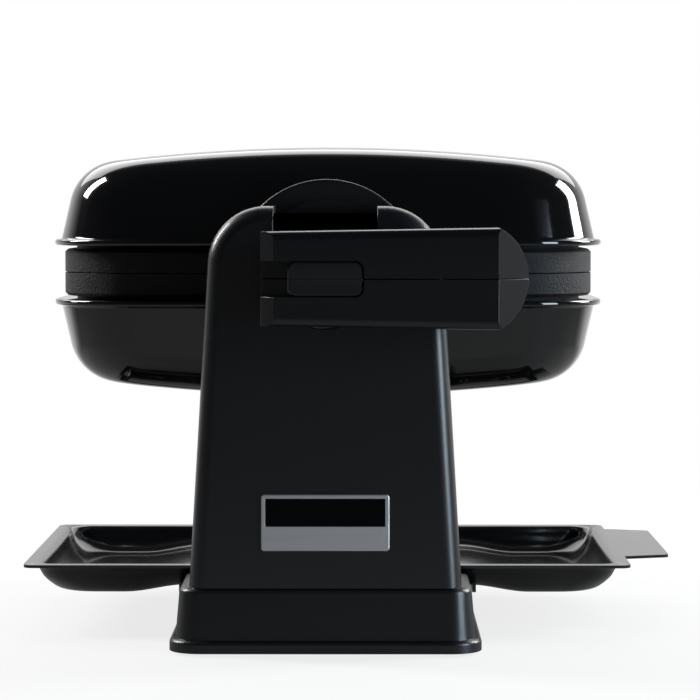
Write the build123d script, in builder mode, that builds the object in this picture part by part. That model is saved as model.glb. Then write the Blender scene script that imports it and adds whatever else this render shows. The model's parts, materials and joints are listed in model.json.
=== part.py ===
# Rotating waffle maker: a clamshell iron that turns half a turn between two columns,
# over a drip tray that straddles a low bridge. Millimetres, +Z up, front towards -Y.
# The origin lies on the table, under the middle of the iron.
import math
import os

from build123d import *

os.makedirs("parts", exist_ok=True)

# Fits
running_gap = 0.1  # a round shaft in its bearing
loose_gap = 0.3  # pieces that move past each other
screw_gap = 0.05  # a screw in its hole

# Iron: rises are measured from the plane where its halves part
axis_height = 176.5
iron_width = 275.0
iron_depth = 168.0
rim_corner = 50.0
rim_rise = 13.4
rim_thick = 3.0
rim_overhang = 3.6
rim_ledge = 14.0
shell_rise = 46.5
shell_draft = 11.0
shell_round = 26.0
shell_wall = 1.6
crown_radius = 900.0

# Baking plates
plate_inset = 5.0
plate_gap = 0.5
plate_thick = 11.4
neck_inset = 6.0
waffle_width = 108.0
waffle_depth = 134.0
waffle_spacing = 120.0
waffle_recess = 9.6
waffle_draft = 12.0
waffle_corner = 18.0
studs_across = 4
studs_deep = 6
stud_drop = 3.0
stud_foot = 16.5
stud_draft = 14.0

# Heating, behind each plate
element_radius = 3.3
element_corner = 30.0
reflector_side_gap = 11.9  # from the rim's ledge
reflector_end_gap = 4.4
reflector_width = iron_width - 2 * (rim_overhang + rim_ledge + reflector_side_gap)
reflector_depth = iron_depth - 2 * (rim_overhang + rim_ledge + reflector_end_gap)
element_width = reflector_width - 28.0
element_depth = reflector_depth - 32.0
reflector_height = 12.0
reflector_wall = 1.0
reflector_corner = 24.0
fuse_radius = 8.0
fuse_height = 7.0

# Front hub
journal_radius = 22.2
journal_wall = 6.0
journal_end_wall = 4.0
collar_radius = 36.0
collar_front = -97.5
flange_radius = 46.0
flange_front = -92.5

# Grip and its latch
grip_back = -150.0
grip_thick = 30.0
grip_front = grip_back - grip_thick
grip_near = -29.0
grip_chord = 79.0
grip_reach = 93.5
grip_half_near = 21.4
grip_half_far = 23.2
grip_end_depth = 17.0
grip_front_round = 4.0
grip_back_round = 9.0
prong_bevel = 6.0
pocket_half = 8.2
pocket_end = 18.0
pocket_depth = 9.0
pocket_round = 4.0
slider_length = 34.4
slider_thick = 6.0
slider_travel = 7.0
guide_neck = 3.0
guide_foot = 7.0
guide_length = 14.0
striker_radius = 2.2
striker_length = 10.0
striker_rise = 2.6
hook_thick = 2.0

# Front column
column_back = -99.0
column_front_low = -147.0
column_front_high = -142.0
column_half_low = 64.0
column_half_high = 55.5
column_rise = 33.0
column_top = axis_height + column_rise
column_shoulder = 27.5
column_edge_round = 8.0
column_wall = 3.0
front_boss_inset = 7.5
front_boss_front = 14.0
front_boss_back = 13.0
liner_thick = 2.0
liner_rise = 14.0
liner_front = -141.0

# Rear column
rear_face = 103.0
rear_cover_thick = 5.0
rear_back_low = 160.0
rear_back_high = 152.0
rear_half_low = 50.0
rear_half_high = 42.0
rear_rise = 22.5
rear_top = axis_height + rear_rise
rear_shoulder = 20.0
rear_edge_round = 6.0
rear_boss_depth = 25.0
cover_screw_inset = 9.0
cover_screw_low = 17.0
cover_screw_high = 27.0
cover_screw_sink = 1.8
cover_sink_radius = 3.1

# Base
base_rise = 1.2
skirt_top = 31.0
skirt_half = 71.2
skirt_draft = 5.0
skirt_corner = 13.0
skirt_round = 2.5
base_wall = 2.5
base_flange_half = 73.5
base_flange_top = 7.0
base_flange_round = 2.0
front_block_front = -150.2
front_block_back = -92.0
rear_block_front = 95.0
rear_block_back = 168.0
bridge_top = 22.0
base_plate_thick = 2.0
foot_size = 17.0
foot_sink = 1.0
foot_inset = 16.0
boss_radius = 4.5
boss_height = 14.0

# Drip tray
tray_width = 298.0
tray_depth = 171.0
tray_rim_top = 34.0
tray_sheet = 1.5
tray_flange = 9.0
tray_slope = 30.0
tray_well_drop = 3.6
tray_well_start = 98.0
tray_corner = 5.0
tray_pan_corner = 20.0
tab_reach = 23.0
tab_front = -50.0
tab_back = 66.0
tab_slant = 6.0
rib_place = 73.0
rib_thick = 1.8
rib_drop = 4.4

# Rear hinge and axle
hinge_y = 93.5
hinge_rise = 18.5
hinge_pin_radius = 3.0
hinge_barrel_radius = 5.5
barrel_inner = 28.0
barrel_outer = 40.0
ear_outer = 50.0
carrier_front = 86.0
carrier_back = 92.0
carrier_drop = 38.0
carrier_rise = 10.0
carrier_screw_inner = 14.0
axle_radius = 10.0
axle_bore = 7.0
axle_end = 135.0
axle_flange_radius = 17.0
axle_flange_thick = 3.0
bearing_wall = 2.5
bearing_front = 102.0
bearing_back = 126.0
bearing_boss_radius = 16.5
stop_collar_radius = 14.5
stop_collar_thick = 6.0
stop_lug_reach = 18.5
stop_lug_half = 3.0
stop_width = 24.0

# Controls on the right of the rear column
knob_height = 98.0
knob_y = 130.0
knob_radius = 17.0
knob_thick = 13.0
knob_flutes = 12
knob_flute_radius = 2.2
knob_stem_radius = 3.0
dial_radius = 22.0
dial_face = 49.5
lamp_height = 140.0
lamp_spacing = 16.0
lamp_radius = 3.0
control_size = 26.0
control_depth = 14.0

# Cord entry at the back
gland_radius = 9.0
gland_bore = 4.0
gland_height = 17.0
gland_reach = 7.0
gland_step = 1.5
terminal_x = 30.0
terminal_y = 125.0
terminal_height = 11.0

# Name plate, left bare
badge_width = 60.0
badge_height = 26.5
badge_middle = 62.0
badge_thick = 1.2
inlay_width = 56.0
inlay_height = 13.0
inlay_thick = 0.5

parting = Plane.XY.offset(axis_height)


def front_view(y):
    """The plane facing the front at depth y, with its centre on the turning axis."""
    return Plane(origin=(0, y, axis_height), x_dir=(1, 0, 0), z_dir=(0, -1, 0))


def save(piece, name):
    """Labels a finished piece and writes its file."""
    piece.label = name
    export_step(piece, f"parts/{name}.step")
    print(name, len(piece.solids()), round(piece.volume))


def mirrored(piece):
    """The same piece on the other half of the iron."""
    with BuildPart() as twin:
        mirror(piece, about=parting)
    return twin.part


def screw(start, direction, length, radius=1.5, head_radius=3.0, head_thick=1.8):
    """A pan-head screw whose head sits at start, with its shank along direction."""
    seat = Plane(origin=start, z_dir=direction)
    with BuildPart() as piece:
        with BuildSketch(seat):
            Circle(radius)
        extrude(amount=length)
        with BuildSketch(seat):
            Circle(head_radius)
        extrude(amount=-head_thick)
        chamfer(piece.faces().sort_by(Axis(start, direction))[0].edges(), head_thick * 0.4)
    return piece.part


def bore(start, direction, length, radius=1.5):
    """The hole for such a screw's shank."""
    with BuildPart() as piece:
        with BuildSketch(Plane(origin=start, z_dir=direction)):
            Circle(radius + screw_gap)
        extrude(amount=length + screw_gap)
    return piece.part


def save_screws(places, direction, length, name):
    """Writes one node that holds a screw at each place."""
    screws = [screw(place, direction, length) for place in places]
    save(Compound(children=screws), name)


# Iron shells


def dome(inset):
    """The solid under the outer skin of the upper shell, drawn in by inset."""
    foot = rim_rise + rim_thick / 2
    rise = shell_rise + rim_thick / 2 - inset
    with BuildPart() as block:
        with BuildSketch(parting.offset(foot)):
            RectangleRounded(
                iron_width - 2 * (rim_overhang + inset),
                iron_depth - 2 * (rim_overhang + inset),
                rim_corner - rim_overhang - inset,
            )
        extrude(amount=rise + 10, taper=shell_draft)
        with Locations((0, 0, axis_height + foot + rise - crown_radius)):
            Sphere(crown_radius, mode=Mode.INTERSECT)
        fillet(block.faces().sort_by(Axis.Z)[-1].edges(), shell_round - inset)
    return block.part


def rim_outline(inset):
    """The iron's outline in plan, drawn in by inset."""
    return RectangleRounded(iron_width - 2 * inset, iron_depth - 2 * inset, rim_corner - inset)


def shell_skin(rise):
    """The depth, from the middle, of the shell's outer skin at a rise above the parting plane."""
    lean = (rise - rim_rise - rim_thick / 2) * math.tan(math.radians(shell_draft))
    return iron_depth / 2 - rim_overhang - lean


outer_dome = dome(0)
inner_dome = dome(shell_wall)
lower_dome = mirrored(outer_dome)
rim_opening = rim_overhang + rim_ledge
plate_bottom = axis_height + plate_gap / 2
neck_edge = plate_inset + neck_inset
screw_inset = (neck_edge + rim_opening) / 2
ledge_top = axis_height + rim_rise + rim_thick
plate_screw_depth = 8.0
plate_screw_places = [
    (x, y, ledge_top)
    for x, y in [
        (0, -(iron_depth / 2 - screw_inset)),
        (0, iron_depth / 2 - screw_inset),
        (-(iron_width / 2 - screw_inset), 0),
        (iron_width / 2 - screw_inset, 0),
    ]
]

hub_screw_rise = 27.0
hub_screw_spread = 30.0
hub_screw_length = 12.0
hub_screw_y = -(shell_skin(hub_screw_rise) - shell_wall - 0.7)
hub_screw_places = [
    (x, hub_screw_y, axis_height + hub_screw_rise) for x in (-hub_screw_spread, hub_screw_spread)
]
arm_screw_x = (barrel_inner + barrel_outer) / 2
arm_screw_rise = 22.5
arm_screw_length = 10.0
arm_screw_y = shell_skin(arm_screw_rise) - shell_wall - 0.7
arm_screw_places = [(x, arm_screw_y, axis_height + arm_screw_rise) for x in (-arm_screw_x, arm_screw_x)]
carrier_screw_drop = 27.0
carrier_screw_length = 11.0
carrier_screw_y = shell_skin(carrier_screw_drop) - shell_wall - 0.7
carrier_screw_places = [
    (x, carrier_screw_y, axis_height - carrier_screw_drop)
    for x in (-arm_screw_x, -carrier_screw_inner, carrier_screw_inner, arm_screw_x)
]

with BuildPart() as shell_blank:
    with BuildSketch(parting.offset(rim_rise)):
        rim_outline(0)
    extrude(amount=rim_thick)
    fillet(shell_blank.faces().sort_by(Axis.Z)[0].edges(), rim_thick * 0.45)
    fillet(shell_blank.faces().sort_by(Axis.Z)[-1].edges(), rim_thick * 0.45)
    add(outer_dome)
    add(inner_dome, mode=Mode.SUBTRACT)
    with BuildSketch(parting.offset(rim_rise)):
        rim_outline(rim_opening)
    extrude(amount=rim_thick, mode=Mode.SUBTRACT)
    for place in plate_screw_places:
        add(bore(place, (0, 0, -1), rim_thick), mode=Mode.SUBTRACT)
    for place in hub_screw_places:
        add(bore(place, (0, -1, 0), hub_screw_length), mode=Mode.SUBTRACT)

with BuildPart() as upper_shell:
    add(shell_blank.part)
    for place in arm_screw_places:
        add(bore(place, (0, 1, 0), arm_screw_length), mode=Mode.SUBTRACT)
save(upper_shell.part, "upper_shell")
with BuildPart() as lower_shell:
    add(mirrored(shell_blank.part))
    for place in carrier_screw_places:
        add(bore(place, (0, 1, 0), carrier_screw_length), mode=Mode.SUBTRACT)
save(lower_shell.part, "lower_shell")

# Baking plates: two waffles side by side, each with a grid of tapered studs
stud_height = waffle_recess + plate_gap / 2 - stud_drop
with BuildPart() as upper_plate:
    with BuildSketch(Plane.XY.offset(plate_bottom)):
        rim_outline(plate_inset)
    extrude(amount=plate_thick)
    chamfer(upper_plate.faces().sort_by(Axis.Z)[-1].edges(), 1.5)
    with BuildSketch(Plane.XY.offset(plate_bottom)):
        rim_outline(neck_edge)
    extrude(amount=axis_height + rim_rise - plate_bottom)
    with BuildSketch(Plane.XY.offset(plate_bottom)) as waffles:
        with GridLocations(waffle_spacing, 0, 2, 1):
            RectangleRounded(waffle_width, waffle_depth, waffle_corner)
    extrude(amount=waffle_recess, taper=waffle_draft, mode=Mode.SUBTRACT)
    with BuildSketch(Plane.XY.offset(plate_bottom + waffle_recess)):
        with GridLocations(waffle_spacing, 0, 2, 1):
            with GridLocations(
                waffle_width / studs_across, waffle_depth / studs_deep, studs_across, studs_deep
            ):
                Rectangle(stud_foot, stud_foot)
    extrude(amount=-stud_height, taper=stud_draft)
    for place in plate_screw_places:
        add(bore(place, (0, 0, -1), plate_screw_depth), mode=Mode.SUBTRACT)
save(upper_plate.part, "upper_plate")
save(mirrored(upper_plate.part), "lower_plate")

plate_screws = [screw(place, (0, 0, -1), plate_screw_depth) for place in plate_screw_places]
save(Compound(children=plate_screws), "upper_plate_screws")
save(Compound(children=[mirrored(piece) for piece in plate_screws]), "lower_plate_screws")

# Heating elements on the backs of the plates, under sheet reflectors
plate_back = axis_height + rim_rise
with BuildPart() as upper_element:
    with BuildLine(Plane.XY.offset(plate_back + element_radius + running_gap)) as element_route:
        FilletPolyline(
            (-element_width / 6, element_depth / 2),
            (-element_width / 2, element_depth / 2),
            (-element_width / 2, -element_depth / 2),
            (element_width / 2, -element_depth / 2),
            (element_width / 2, element_depth / 2),
            (element_width / 6, element_depth / 2),
            radius=element_corner,
        )
    with BuildSketch(Plane(origin=element_route.line @ 0, z_dir=element_route.line % 0)):
        Circle(element_radius)
    sweep()
save(upper_element.part, "upper_element")
save(mirrored(upper_element.part), "lower_element")

with BuildPart() as upper_reflector:
    with BuildSketch(Plane.XY.offset(plate_back)):
        RectangleRounded(reflector_width, reflector_depth, reflector_corner)
    extrude(amount=reflector_height, taper=8)
    fillet(upper_reflector.faces().sort_by(Axis.Z)[-1].edges(), 3)
    offset(amount=-reflector_wall, openings=upper_reflector.faces().sort_by(Axis.Z)[0])
save(upper_reflector.part, "upper_reflector")
save(mirrored(upper_reflector.part), "lower_reflector")

with BuildPart() as upper_fuse:
    with BuildSketch(Plane.XY.offset(plate_back + running_gap)):
        Circle(fuse_radius)
    extrude(amount=fuse_height)
    fillet(upper_fuse.faces().sort_by(Axis.Z)[-1].edges(), 1)
save(upper_fuse.part, "upper_thermostat")
save(mirrored(upper_fuse.part), "lower_thermostat")

# Front hub: each half carries half of the journal that turns in the column
split_gap = plate_gap / 2
rim_front = -(iron_depth / 2 + loose_gap)
grip_screw_radius = 11.0
grip_screw_length = 13.0
grip_screw_y = grip_back + journal_end_wall
grip_screw_angle = math.radians(50)
grip_screw_x = grip_screw_radius * math.cos(grip_screw_angle)
grip_screw_places = [
    (x, grip_screw_y, axis_height + grip_screw_radius * math.sin(grip_screw_angle))
    for x in (-grip_screw_x, grip_screw_x)
]


def half_disc(radius):
    """A half disc above the parting plane, in the sketch's own plane."""
    Circle(radius)
    with Locations((0, -radius + split_gap)):
        Rectangle(3 * radius, 2 * radius, mode=Mode.SUBTRACT)


with BuildPart() as upper_hub:
    with BuildSketch(front_view(-(iron_depth / 2 - 20))):
        half_disc(flange_radius)
        Rectangle(3 * flange_radius, 2 * (rim_rise + rim_thick + loose_gap), mode=Mode.SUBTRACT)
    extrude(amount=-(flange_front + iron_depth / 2 - 20))
    add(outer_dome, mode=Mode.SUBTRACT)
    with BuildSketch(front_view(rim_front)):
        half_disc(flange_radius)
    extrude(amount=rim_front - flange_front)
    fillet(upper_hub.faces().filter_by(Axis.Y).sort_by(Axis.Y)[0].edges().filter_by(GeomType.CIRCLE), 1.5)
    with BuildSketch(front_view(flange_front)):
        half_disc(collar_radius)
    extrude(amount=flange_front - collar_front)
    with BuildSketch(front_view(collar_front)):
        half_disc(journal_radius)
    extrude(amount=collar_front - grip_back)
    with BuildSketch(front_view(flange_front)):
        half_disc(journal_radius - journal_wall)
    extrude(amount=flange_front - grip_back - journal_end_wall, mode=Mode.SUBTRACT)
    for place in grip_screw_places:
        add(bore(place, (0, -1, 0), journal_end_wall), mode=Mode.SUBTRACT)
    for place in hub_screw_places:
        add(bore(place, (0, -1, 0), hub_screw_length), mode=Mode.SUBTRACT)
save(upper_hub.part, "upper_hub")
save(mirrored(upper_hub.part), "lower_hub")

hub_screws = [screw(place, (0, -1, 0), hub_screw_length) for place in hub_screw_places]
save(Compound(children=hub_screws), "upper_hub_screws")
save(Compound(children=[mirrored(piece) for piece in hub_screws]), "lower_hub_screws")
grip_screws = [screw(place, (0, -1, 0), grip_screw_length, head_thick=1.5) for place in grip_screw_places]
save(Compound(children=grip_screws), "upper_grip_screws")
save(Compound(children=[mirrored(piece) for piece in grip_screws]), "lower_grip_screws")

# Grip, cut along the parting plane, with a pocket for the latch
pocket_floor = grip_front + pocket_depth
slider_front = grip_front + (pocket_depth - slider_thick - hook_thick - loose_gap)
slider_back = slider_front + slider_thick
slider_end = pocket_end - loose_gap
slider_start = slider_end - slider_length
guide_x = (slider_start + slider_end) / 2
guide_z = -(pocket_half - guide_neck)
neck_reach = 2.0  # how far the latch's neck goes behind the pocket's floor
foot_thick = 2.0
striker_x = 7.0


def long_edges(piece):
    """The edges that run along the grip."""
    return piece.edges().filter_by(lambda edge: edge.length > grip_chord - grip_near - 1)


with BuildPart() as grip:
    with BuildSketch(front_view(grip_back)):
        with BuildLine():
            Polyline(
                (grip_chord, grip_half_far),
                (grip_near, grip_half_near),
                (grip_near, -grip_half_near),
                (grip_chord, -grip_half_far),
            )
            ThreePointArc((grip_chord, -grip_half_far), (grip_reach, 0), (grip_chord, grip_half_far))
        make_face()
    extrude(amount=grip_back - grip_front)
    fillet(long_edges(grip).group_by(Axis.Y)[-1], grip_back_round)
    fillet(long_edges(grip).group_by(Axis.Y)[0], grip_front_round)
    with BuildSketch(Plane.XY.offset(axis_height)):
        with BuildLine():
            Polyline(
                (grip_chord, grip_front),
                (grip_reach + 1, grip_front),
                (grip_reach + 1, grip_front + grip_end_depth),
                (grip_chord, grip_front),
            )
        make_face()
    extrude(amount=2 * grip_half_far, both=True, mode=Mode.SUBTRACT)
    with BuildSketch(Plane.XY.offset(axis_height)):
        with BuildLine():
            Polyline(
                (grip_near, grip_front),
                (grip_near + prong_bevel, grip_front),
                (grip_near, grip_front + prong_bevel),
                (grip_near, grip_front),
            )
        make_face()
    extrude(amount=2 * grip_half_far, both=True, mode=Mode.SUBTRACT)
    with BuildSketch(front_view(grip_front + pocket_depth)):
        with Locations(((grip_near + pocket_end) / 2 - pocket_half, 0)):
            RectangleRounded(pocket_end - grip_near + 2 * pocket_half, 2 * pocket_half, pocket_round)
    extrude(amount=pocket_depth, mode=Mode.SUBTRACT)

with BuildPart() as upper_grip:
    add(grip.part)
    split(bisect_by=parting.offset(split_gap), keep=Keep.TOP)
    for place in grip_screw_places:
        add(bore(place, (0, -1, 0), grip_screw_length), mode=Mode.SUBTRACT)
    with BuildSketch(front_view(pocket_floor)):
        with Locations((striker_x, striker_rise + split_gap)):
            Circle(striker_radius + screw_gap)
    extrude(amount=-(striker_length - hook_thick), mode=Mode.SUBTRACT)
save(upper_grip.part, "upper_grip")

with BuildPart() as lower_grip:
    add(grip.part)
    split(bisect_by=parting.offset(-split_gap), keep=Keep.BOTTOM)
    for place in grip_screw_places:
        twin_place = (place[0], place[1], 2 * axis_height - place[2])
        add(bore(twin_place, (0, -1, 0), grip_screw_length), mode=Mode.SUBTRACT)
    with BuildSketch(front_view(pocket_floor)):
        with Locations((guide_x - slider_travel / 2, guide_z)):
            Rectangle(guide_length + slider_travel + 2 * loose_gap, guide_neck + 2 * loose_gap)
    extrude(amount=-(neck_reach + foot_thick + loose_gap), mode=Mode.SUBTRACT)
    with BuildSketch(front_view(pocket_floor + neck_reach)):
        with Locations((guide_x - slider_travel / 2, guide_z)):
            Rectangle(guide_length + slider_travel + 2 * loose_gap, guide_foot + 2 * loose_gap)
    extrude(amount=-(foot_thick + 2 * loose_gap), mode=Mode.SUBTRACT)
save(lower_grip.part, "lower_grip")

with BuildPart() as latch_striker:
    with BuildSketch(front_view(pocket_floor + striker_length - hook_thick)):
        with Locations((striker_x, striker_rise + split_gap)):
            Circle(striker_radius)
    extrude(amount=striker_length - loose_gap)
save(latch_striker.part, "latch_striker")

hook_bottom = striker_rise + split_gap + striker_radius + loose_gap
hook_top = pocket_half - loose_gap
with BuildPart() as latch_slider:
    with BuildSketch(front_view(slider_back)):
        with Locations(((slider_start + slider_end) / 2, 0)):
            RectangleRounded(slider_length, 2 * (pocket_half - loose_gap), pocket_round - loose_gap)
    extrude(amount=slider_thick)
    fillet(latch_slider.faces().sort_by(Axis.Y)[0].edges(), 1.2)
    with BuildSketch(front_view(slider_front)):
        with Locations(((slider_start + slider_end) / 2, 0)):
            Rectangle(slider_length + 1, 0.5)
    extrude(amount=-0.5, mode=Mode.SUBTRACT)
    with BuildSketch(front_view(slider_back + hook_thick)):
        with Locations(((slider_start + 1 + striker_x + striker_radius) / 2, (hook_bottom + hook_top) / 2)):
            Rectangle(striker_x + striker_radius - slider_start - 1, hook_top - hook_bottom)
    extrude(amount=hook_thick)
    with BuildSketch(front_view(pocket_floor + neck_reach + loose_gap + foot_thick)):
        with Locations((guide_x, guide_z)):
            Rectangle(guide_length, guide_neck)
    extrude(amount=pocket_floor + neck_reach + loose_gap + foot_thick - slider_back)
    with BuildSketch(front_view(pocket_floor + neck_reach + loose_gap + foot_thick)):
        with Locations((guide_x, guide_z)):
            Rectangle(guide_length, guide_foot)
    extrude(amount=foot_thick)
save(latch_slider.part, "latch_slider")

# Rear hinge: arms on the upper shell, ears on the carrier bolted to the lower shell
hinge_height = axis_height + hinge_rise
arm_low = rim_rise + rim_thick + loose_gap
arm_top = 28.0
with BuildPart() as hinge_arms:
    with BuildSketch(Plane.YZ.offset(barrel_inner)):
        with Locations((hinge_y, hinge_height)):
            Circle(hinge_barrel_radius)
        with Locations((iron_depth / 2 - 8, axis_height + (arm_low + arm_top) / 2)):
            Rectangle(14, arm_top - arm_low)
        make_hull()
    extrude(amount=barrel_outer - barrel_inner)
    with BuildSketch(Plane.YZ.offset(barrel_inner)):
        with Locations((iron_depth / 2 + loose_gap - 15, axis_height + arm_low - 5)):
            Rectangle(30, 10)
    extrude(amount=barrel_outer - barrel_inner, mode=Mode.SUBTRACT)
    with BuildSketch(Plane.YZ.offset(barrel_inner)):
        with Locations((hinge_y, hinge_height)):
            Circle(hinge_pin_radius + running_gap)
    extrude(amount=barrel_outer - barrel_inner, mode=Mode.SUBTRACT)
    mirror(about=Plane.YZ)
    add(outer_dome, mode=Mode.SUBTRACT)
    for place in arm_screw_places:
        add(bore(place, (0, 1, 0), arm_screw_length), mode=Mode.SUBTRACT)
save(hinge_arms.part, "hinge_arms")
save_screws(arm_screw_places, (0, 1, 0), arm_screw_length, "hinge_arm_screws")

axle_screw_length = 5.0
axle_screw_circle = 13.5
axle_screw_places = [
    (
        axle_screw_circle * math.cos(math.radians(angle)),
        carrier_back + axle_flange_thick,
        axis_height + axle_screw_circle * math.sin(math.radians(angle)),
    )
    for angle in (90, 210, 330)
]
with BuildPart() as hinge_carrier:
    with BuildSketch(front_view(carrier_back)):
        with Locations((0, (carrier_rise - carrier_drop) / 2)):
            RectangleRounded(2 * ear_outer, carrier_rise + carrier_drop, 6)
    extrude(amount=carrier_back - carrier_front)
    with BuildSketch(front_view(carrier_front)):
        with Locations((0, -(carrier_drop + arm_low) / 2)):
            Rectangle(2 * barrel_outer, carrier_drop - arm_low)
    extrude(amount=18)
    add(lower_dome, mode=Mode.SUBTRACT)
    with BuildSketch(Plane.YZ.offset(barrel_outer + loose_gap)):
        with Locations((hinge_y, hinge_height)):
            Circle(hinge_barrel_radius)
        with Locations(((carrier_front + carrier_back) / 2, axis_height + carrier_rise - 5)):
            Rectangle(carrier_back - carrier_front, 10)
        make_hull()
    extrude(amount=ear_outer - barrel_outer - loose_gap)
    with BuildSketch(Plane.YZ.offset(-barrel_outer - loose_gap)):
        with Locations((hinge_y, hinge_height)):
            Circle(hinge_barrel_radius)
        with Locations(((carrier_front + carrier_back) / 2, axis_height + carrier_rise - 5)):
            Rectangle(carrier_back - carrier_front, 10)
        make_hull()
    extrude(amount=-(ear_outer - barrel_outer - loose_gap))
    with BuildSketch(Plane.YZ):
        with Locations((hinge_y, hinge_height)):
            Circle(hinge_pin_radius + screw_gap)
    extrude(amount=ear_outer + 1, both=True, mode=Mode.SUBTRACT)
    with BuildSketch(front_view(carrier_back)):
        Circle(axle_bore)
    extrude(amount=carrier_back - carrier_front, mode=Mode.SUBTRACT)
    for place in carrier_screw_places:
        add(bore(place, (0, 1, 0), carrier_screw_length), mode=Mode.SUBTRACT)
    for place in axle_screw_places:
        add(bore(place, (0, -1, 0), axle_flange_thick + axle_screw_length), mode=Mode.SUBTRACT)
save(hinge_carrier.part, "hinge_carrier")
save_screws(carrier_screw_places, (0, 1, 0), carrier_screw_length, "carrier_screws")

with BuildPart() as hinge_pins:
    with BuildSketch(Plane.YZ.offset(barrel_inner - 1)):
        with Locations((hinge_y, hinge_height)):
            Circle(hinge_pin_radius)
    extrude(amount=ear_outer - barrel_inner + 2)
    chamfer(hinge_pins.faces().filter_by(Axis.X).edges(), 0.5)
    mirror(about=Plane.YZ)
save(hinge_pins.part, "hinge_pins")

# Rear axle, hollow for the wires, with its stop collar
with BuildPart() as rear_axle:
    with BuildSketch(front_view(carrier_back + axle_flange_thick)):
        Circle(axle_flange_radius)
    extrude(amount=axle_flange_thick)
    with BuildSketch(front_view(axle_end)):
        Circle(axle_radius)
    extrude(amount=axle_end - carrier_back)
    chamfer(rear_axle.faces().sort_by(Axis.Y)[-1].edges(), 1)
    with BuildSketch(front_view(axle_end)):
        Circle(axle_bore)
    extrude(amount=axle_end - carrier_back, mode=Mode.SUBTRACT)
    for place in axle_screw_places:
        add(bore(place, (0, -1, 0), axle_flange_thick), mode=Mode.SUBTRACT)
save(rear_axle.part, "rear_axle")
save_screws(axle_screw_places, (0, -1, 0), axle_flange_thick + axle_screw_length, "axle_screws")

stop_front = bearing_back + loose_gap
with BuildPart() as stop_collar:
    with BuildSketch(front_view(stop_front + stop_collar_thick)):
        Circle(stop_collar_radius)
        with Locations((0, stop_lug_reach / 2)):
            Rectangle(2 * stop_lug_half, stop_lug_reach)
        Circle(axle_radius + screw_gap, mode=Mode.SUBTRACT)
    extrude(amount=stop_collar_thick)
save(stop_collar.part, "stop_collar")

# Rear column: a housing closed by a cover that holds the bearing and the turning stop


def column_outline(half_low, half_high, top, shoulder, slot_radius=0.0):
    """A column's outline from the front: it narrows upwards, and may have a slot for the journal."""
    foot = skirt_top - axis_height
    crest = top - axis_height
    narrowing = (half_low - half_high) * (crest - foot) / -foot
    with BuildSketch() as outline:
        with BuildLine():
            FilletPolyline(
                (-half_low, foot),
                (-(half_low - narrowing), crest),
                (half_low - narrowing, crest),
                (half_low, foot),
                radius=shoulder,
            )
            Line((half_low, foot), (-half_low, foot))
        make_face()
        if slot_radius:
            Circle(slot_radius, mode=Mode.SUBTRACT)
            with Locations((0, crest)):
                Rectangle(2 * slot_radius, 2 * crest, mode=Mode.SUBTRACT)
    return outline.sketch


def drawn_in(outline, inset):
    """An outline drawn in all round."""
    with BuildSketch() as smaller:
        add(outline)
        offset(amount=-inset, kind=Kind.INTERSECTION, mode=Mode.REPLACE)
    return smaller.sketch


def above_foot(edge):
    """Whether an edge of a column lies above its foot."""
    return edge.center().Z > skirt_top + 1


def lean_cut(y_low, y_high, outwards):
    """The wedge that lies beyond a column's leaning face."""
    far = y_low + 40 * outwards
    with BuildPart() as wedge:
        with BuildSketch(Plane.YZ.offset(-100)):
            with BuildLine():
                Polyline(
                    (y_low, skirt_top),
                    (y_high, column_top),
                    (far, column_top + 1),
                    (far, skirt_top),
                    close=True,
                )
            make_face()
        extrude(amount=200)
    return wedge.part


rear_outline = column_outline(rear_half_low, rear_half_high, rear_top, rear_shoulder)
cover_back = rear_face + rear_cover_thick
cover_screw_length = 10.0
cover_screw_x = rear_half_high - cover_screw_inset
cover_screw_places = [
    (x, rear_face + cover_screw_sink, z)
    for z in (skirt_top + cover_screw_low, rear_top - cover_screw_high)
    for x in (-cover_screw_x, cover_screw_x)
]
with BuildPart() as rear_cover:
    with BuildSketch(front_view(cover_back)):
        add(rear_outline)
    extrude(amount=rear_cover_thick)
    with BuildSketch(front_view(bearing_back)):
        Circle(bearing_boss_radius)
    extrude(amount=bearing_back - cover_back)
    with BuildSketch(front_view(bearing_back)):
        Circle(axle_radius + running_gap + bearing_wall)
    extrude(amount=bearing_back - rear_face, mode=Mode.SUBTRACT)
    with BuildSketch(front_view(stop_front + stop_collar_thick)):
        with Locations((-(stop_width + stop_lug_half + loose_gap) / 2, 0)):
            Rectangle(stop_width - stop_lug_half - loose_gap, 2 * stop_lug_reach)
        Circle(stop_collar_radius + loose_gap, mode=Mode.SUBTRACT)
    extrude(amount=stop_front + stop_collar_thick - bearing_back)
    for place in cover_screw_places:
        add(bore(place, (0, 1, 0), cover_screw_length), mode=Mode.SUBTRACT)
        with BuildSketch(Plane(origin=(place[0], rear_face, place[2]), z_dir=(0, 1, 0))):
            Circle(cover_sink_radius)
        extrude(amount=cover_screw_sink, mode=Mode.SUBTRACT)
save(rear_cover.part, "rear_cover")
save_screws(cover_screw_places, (0, 1, 0), cover_screw_length, "rear_cover_screws")

with BuildPart() as rear_bearing:
    with BuildSketch(front_view(bearing_back)):
        Circle(axle_radius + running_gap + bearing_wall)
        Circle(axle_radius + running_gap, mode=Mode.SUBTRACT)
    extrude(amount=bearing_back - bearing_front)
save(rear_bearing.part, "rear_bearing")

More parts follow.
